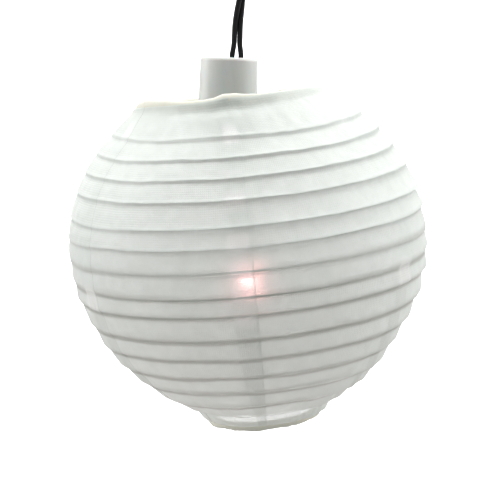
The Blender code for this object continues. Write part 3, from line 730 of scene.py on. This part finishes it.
def hem_rows(place, rim_radius, up, rise, leg, seed):
    """A soft fold of cloth over a rim wire, round the ball. up is -1 for one that hangs under."""
    steps = 260
    rows = []
    for i in range(steps):
        angle = math.tau * i / steps
        crumple = wander(angle, 0.0, 3.0, seed)
        fine = wander(angle, 4.0, 11.0, seed)
        top = rise(angle) + (0.3 * crumple + 0.18 * fine) * MM
        thick = HEM_THICKNESS + 0.1 * MM * wander(angle, 8.0, 5.0, seed)
        if up > 0.0:
            thick += 0.5 * MM * over_eye(angle)
        outside = leg * (1.0 + 0.2 * crumple - 0.1 * fine)
        profile = [(thick * 0.82, -outside), (thick, -outside * 0.5), (thick * 1.02, 0.0),
                   (thick * 0.85, top * 0.62), (thick * 0.45, top * 0.94), (0.0, top),
                   (-thick * 0.45, top * 0.92), (-thick * 0.8, top * 0.6), (-thick * 0.9, 0.0),
                   (-thick * 0.8, -HEM_INSIDE), (-thick * 0.5, -HEM_INSIDE),
                   (-thick * 0.55, 0.0), (-thick * 0.35, top * 0.5), (thick * 0.35, top * 0.5),
                   (thick * 0.6, 0.0), (thick * 0.55, -outside)]
        rows.append([place @ about_z(rim_radius + x, angle, up * y) for x, y in profile])
    return rows


def make_hems():
    """The folded edges of the cloth round the two rims."""
    top = hem_rows(RIM_PLACE, TOP_RIM_RADIUS, 1.0, top_rise, TOP_HEM_LEG, 7)
    bottom = hem_rows(level_place(BOTTOM_RIM[0]), BOTTOM_RIM[1], -1.0, bottom_rise,
                      BOTTOM_HEM_LEG, 8)
    for name, rows, body, nodes in (
            ("top_hem", top, "ball_top", ("top_hem_left", "top_hem_right")),
            ("bottom_hem_fold", bottom, "ball_bottom", ("bottom_hem",))):
        hem = add_piece(name, ring_mesh(name, rows), HEM, body, "hem", *nodes)
        smooth = hem.modifiers.new("soft", "SUBSURF")
        smooth.levels = 1
        smooth.render_levels = 1


def make_hanger_wire():
    """A straight wire with an eye at each end that goes round the top rim wire."""
    steps = 40
    ends = []
    for side in (-1.0, 1.0):
        eye = []
        for i in range(steps + 1):
            angle = -math.pi / 2.0 + EYE_SWEEP * i / steps
            reach = TOP_RIM_RADIUS + EYE_RADIUS * math.cos(angle)
            eye.append(RIM_PLACE @ Vector((0.0, side * reach, EYE_RADIUS * math.sin(angle))))
        ends.append(eye)
    curve = wire_curve("hanger", list(reversed(ends[0])) + [PIVOT] + ends[1], HANGER_RADIUS)
    add_piece("hanger", curve, RIB_WIRE, "ball_top", "rib_wire", "hanger_wire")


# Lamp holder

def cut(target, mesh):
    """Cut a mesh out of a piece, with a modifier that stays."""
    cutter = bpy.data.objects.new(mesh.name, mesh)
    bpy.context.scene.collection.objects.link(cutter)
    cutter.hide_render = True
    cutter.display_type = "WIRE"
    step = target.modifiers.new(mesh.name, "BOOLEAN")
    step.operation = "DIFFERENCE"
    step.solver = "EXACT"
    step.object = cutter


def make_holder_shell():
    """The white cap, with its rounded top edge, wire holes and hanger slots."""
    roof = SHELL_TOP - SHELL_ROOF
    middle_radius = (SHELL_TOP_RADIUS + SHELL_BOTTOM_RADIUS) / 2.0
    over_slot = 2.0 * MM
    lip = 0.25 * MM
    outline = [(0.0, roof), (SHELL_TOP_RADIUS - SHELL_WALL, roof),
               (middle_radius - SHELL_WALL, over_slot),
               (SHELL_BOTTOM_RADIUS - SHELL_WALL, SHELL_BOTTOM)]
    outline += arc((SHELL_BOTTOM_RADIUS - lip, SHELL_BOTTOM + lip), lip, -90.0, 0.0, 4)
    outline.append((middle_radius, over_slot))
    outline += arc((SHELL_TOP_RADIUS - SHELL_EDGE, SHELL_TOP - SHELL_EDGE), SHELL_EDGE,
                   0.0, 90.0, 8)
    outline.append((0.0, SHELL_TOP))
    mesh = turned("holder_cap", outline, 128, HOLDER_FRAME)
    shell = add_piece("holder_cap", mesh, WHITE_PLASTIC, "lamp_holder", "white_plastic",
                      "holder_shell")
    hole = [(0.0, roof - MM), (WIRE_HOLE_RADIUS, roof - MM),
            (WIRE_HOLE_RADIUS, SHELL_TOP + MM), (0.0, SHELL_TOP + MM)]
    for name, side in (("wire_hole_left", -1.0), ("wire_hole_right", 1.0)):
        aside = Matrix.Translation((PAIR_OFFSET + side * PAIR_GAP_AT_ROOF / 2.0, 0.0, 0.0))
        cut(shell, turned(name, hole, 40, HOLDER_FRAME @ aside))
    past_wall = 8.0 * MM
    cut(shell, block("hanger_slot", (-SLOT_HALF_WIDTH, -past_wall, SHELL_BOTTOM - MM),
                     (SLOT_HALF_WIDTH, past_wall, SLOT_HALF_WIDTH), HOLDER_FRAME))


# Stage, lights and camera

def floor_material():
    """Pale, but darker under the lantern, so that little light comes up from below it."""
    material, tree, output = new_material("floor_look")
    place = node(tree, "ShaderNodeTexCoord").outputs["Object"]
    away = node(tree, "ShaderNodeVectorMath", {0: place, 1: (AXIS.x, AXIS.y, 0.0)},
                operation="DISTANCE")
    level = node(tree, "ShaderNodeMapRange", {
        "Value": away.outputs["Value"], "From Min": DARK_WITHIN, "From Max": PALE_BEYOND,
        "To Min": FLOOR_DARK, "To Max": FLOOR_PALE},
        interpolation_type="SMOOTHSTEP").outputs["Result"]
    cloud = node(tree, "ShaderNodeTexNoise", {"Vector": place, "Scale": 2.0}).outputs["Fac"]
    shade = node(tree, "ShaderNodeMath", {0: level, 1: spread(tree, cloud, 0.97, 1.03)},
                 operation="MULTIPLY").outputs["Value"]
    colour = node(tree, "ShaderNodeCombineColor", {"Red": shade, "Green": shade, "Blue": shade})
    shader = node(tree, "ShaderNodeBsdfPrincipled",
                  {"Base Color": colour.outputs["Color"], "Roughness": 0.85})
    tree.links.new(shader.outputs["BSDF"], output.inputs["Surface"])
    return material


def make_stage():
    mesh = bpy.data.meshes.new("floor")
    corners = [(x * FLOOR_HALF, y * FLOOR_HALF, 0.0)
               for x, y in ((-1.0, -1.0), (1.0, -1.0), (1.0, 1.0), (-1.0, 1.0))]
    mesh.from_pydata(corners, [], [(0, 1, 2, 3)])
    floor = bpy.data.objects.new("floor", mesh)
    floor.location.z = BALL_CENTRE.z - FLOOR_DEPTH
    bpy.context.scene.collection.objects.link(floor)
    mesh.materials.append(floor_material())


def add_area_light(name, place, target, size, power, spread_angle=180.0):
    data = bpy.data.lights.new(name, "AREA")
    data.shape = "DISK"
    data.size = size
    data.energy = power
    data.spread = math.radians(spread_angle)
    lamp = bpy.data.objects.new(name, data)
    bpy.context.scene.collection.objects.link(lamp)
    lamp.location = place
    lamp.rotation_euler = (target - place).to_track_quat("-Z", "Y").to_euler()


def make_world():
    """A white room, brighter above and behind the lantern than below and before it."""
    world = bpy.data.worlds.new("studio")
    bpy.context.scene.world = world
    world.use_nodes = True
    tree = world.node_tree
    toward = node(tree, "ShaderNodeTexCoord").outputs["Generated"]
    parts = node(tree, "ShaderNodeSeparateXYZ", {"Vector": toward})
    behind = node(tree, "ShaderNodeMapRange", {
        "Value": parts.outputs["Y"], "From Min": -1.0, "From Max": 0.7,
        "To Min": WORLD_FRONT, "To Max": WORLD_BACK}).outputs["Result"]
    above = node(tree, "ShaderNodeMapRange", {
        "Value": parts.outputs["Z"], "From Min": 0.0, "From Max": 1.0,
        "To Min": WORLD_LEVEL, "To Max": WORLD_OVERHEAD}).outputs["Result"]
    strength = node(tree, "ShaderNodeMath", {0: behind, 1: above}, operation="MULTIPLY")
    background = tree.nodes["Background"]
    background.inputs["Color"].default_value = WHITE
    tree.links.new(strength.outputs["Value"], background.inputs["Strength"])


def make_lights():
    make_world()
    for name, offset, size, power in AREA_LIGHTS:
        add_area_light(name, BALL_CENTRE + Vector(offset), BALL_CENTRE, size, power)
    for distance, power in BACKDROP_POOLS:
        place = BALL_CENTRE + Vector((0.0, distance, BACKDROP_HEIGHT))
        add_area_light(f"backdrop_{distance:.0f}", place, place - Vector((0.0, 0.0, 1.0)),
                       BACKDROP_SIZE, power, BACKDROP_SPREAD)
    add_chip_light()


def add_chip_light():
    """The lit chip inside the lens. The lens casts no shadow, so that the light gets out."""
    chip = bpy.data.lights.new("chip", "POINT")
    chip.energy = CHIP_POWER
    chip.color = CHIP_COLOUR
    chip.shadow_soft_size = CHIP_RADIUS
    lamp = bpy.data.objects.new("chip", chip)
    bpy.context.scene.collection.objects.link(lamp)
    lens_middle = middle_of("led_lens")
    lens_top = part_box("led_lens")[1].z
    lamp.location = (lens_middle.x - CHIP_ASIDE, lens_middle.y, lens_top - CHIP_DEPTH)
    frame["nodes"]["led_lens"].visible_shadow = False


def make_camera():
    data = bpy.data.cameras.new("camera")
    data.lens = CAMERA_LENS
    data.sensor_width = SENSOR_WIDTH
    camera = bpy.data.objects.new("camera", data)
    bpy.context.scene.collection.objects.link(camera)
    back = Vector((0.0, -math.cos(CAMERA_ELEVATION), math.sin(CAMERA_ELEVATION)))
    level = Vector((1.0, 0.0, 0.0))
    rise = back.cross(level)
    right = math.cos(CAMERA_ROLL) * level - math.sin(CAMERA_ROLL) * rise
    up = math.sin(CAMERA_ROLL) * level + math.cos(CAMERA_ROLL) * rise
    aim = BALL_CENTRE + AIM_ASIDE * right + AIM_UP * up
    turn = Matrix((right, up, back)).transposed()
    camera.matrix_world = Matrix.Translation(aim + CAMERA_DISTANCE * back) @ turn.to_4x4()
    bpy.context.scene.camera = camera
    bpy.context.scene.view_settings.view_transform = "Standard"


# Materials of the CAD nodes that stay as they are
KEPT_NODES = {
    "holder_plug": WHITE_PLASTIC, "wire_seal": SEAL_RUBBER, "crimp_left": BRASS,
    "crimp_right": BRASS, "led_leg_left": LEG_METAL, "led_leg_right": LEG_METAL,
    "leg_sleeve_left": SLEEVE, "leg_sleeve_right": SLEEVE, "led_lens": LENS,
    "joint_gland": BLACK_RUBBER, "string_joint": BLACK_RUBBER, "hanging_loop": LEG_METAL,
}


def dress_cad_nodes():
    for name, material in KEPT_NODES.items():
        for slot in frame["nodes"][name].material_slots:
            slot.material = material


make_camera()
make_drop_wires()
make_gores()
make_rings()
make_hems()
make_hanger_wire()
make_holder_shell()
dress_cad_nodes()
make_stage()
make_lights()
